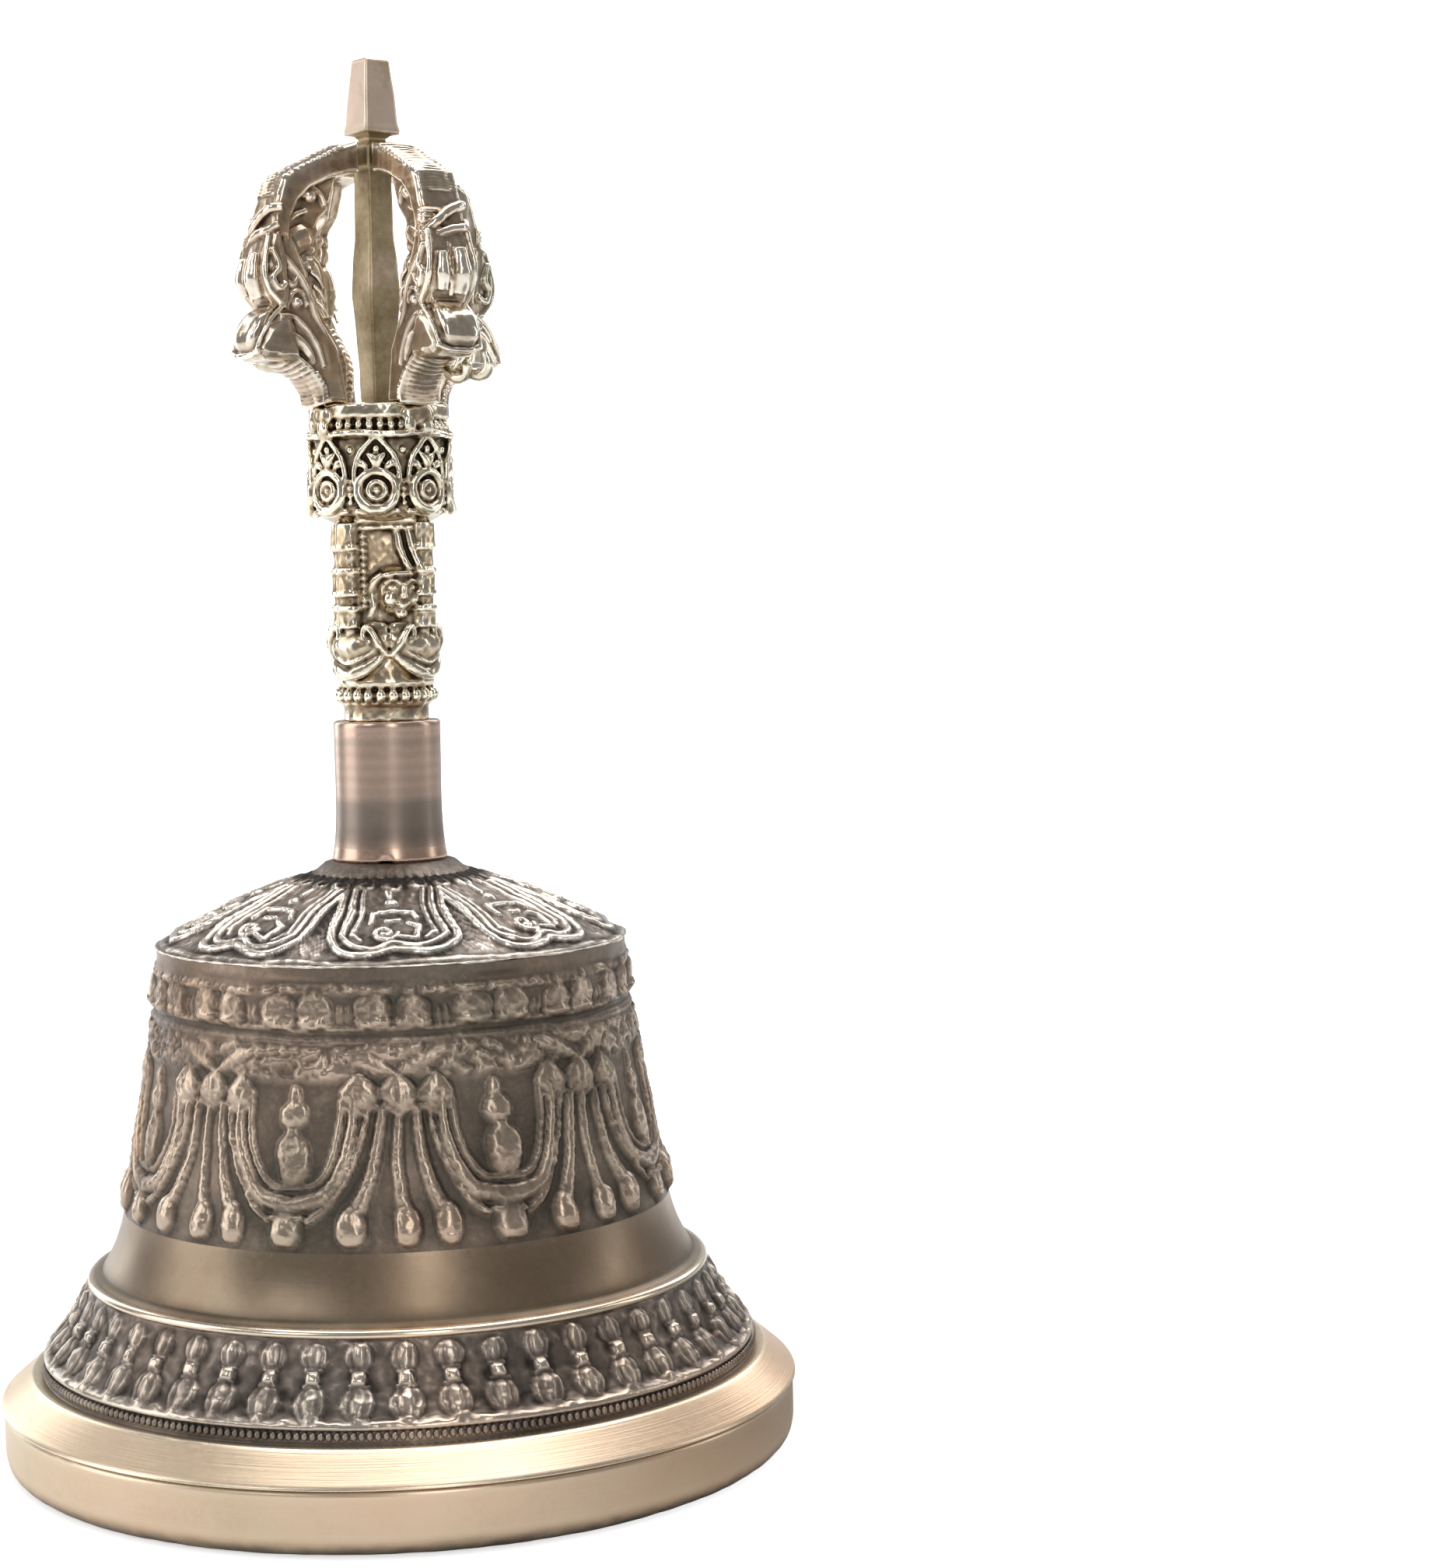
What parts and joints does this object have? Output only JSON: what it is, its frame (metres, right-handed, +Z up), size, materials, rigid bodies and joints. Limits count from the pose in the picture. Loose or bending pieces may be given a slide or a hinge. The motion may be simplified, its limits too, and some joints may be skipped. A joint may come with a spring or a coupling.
{
  "type": "ritual handbell",
  "caption": "Cast handbell with a turned flared lip, ferrule, slim cast handle and a finial of curved prongs round a spear, rung by a clapper swinging from a swivel in the cup.",
  "frame": {"origin": "centre of the flat foot of the bell's lip, in the plane it rests on", "axes": "+Z up the bell's axis to the point of the spear, -Y towards the front, +X to the right seen from the front"},
  "size_m": [0.09, 0.09, 0.156],
  "materials": {
    "cast_bronze": "cast bronze with a dark patina left in the relief and worn highlights",
    "turned_bronze": "satin turned, fine lathe lines",
    "cast_brass": "cast yellow brass, polished by handling, dark in the recesses",
    "steel": "plain steel with a light brown tarnish"
  },
  "bodies": {
    "bell": {"bell_cup": "cast_bronze", "neck_ferrule": "turned_bronze", "handle_casting": "cast_brass", "prong_front_left": "cast_brass", "prong_front_right": "cast_brass", "prong_back_left": "cast_brass", "prong_back_right": "cast_brass", "spear_prong": "cast_brass", "crown_washer_outer": "steel", "crown_washer_inner": "steel", "hanger_bolt": "steel", "crown_nut": "steel"},
    "stirrup": {"clapper_stirrup": "steel", "stirrup_pin": "steel"},
    "clapper": {"clapper_rod": "steel", "clapper_ball": "turned_bronze", "clapper_end_nut": "steel"}
  },
  "joints": [
    {"name": "stirrup_swivel", "type": "hinge", "parent": "bell", "child": "stirrup", "pos_m": [0, 0, 0.0594], "axis": [0, 0, 1], "continuous": true},
    {"name": "clapper_swing", "type": "hinge", "parent": "stirrup", "child": "clapper", "pos_m": [0, 0, 0.052], "axis": [0, 1, 0], "range_deg": [-33, 33]}
  ]
}
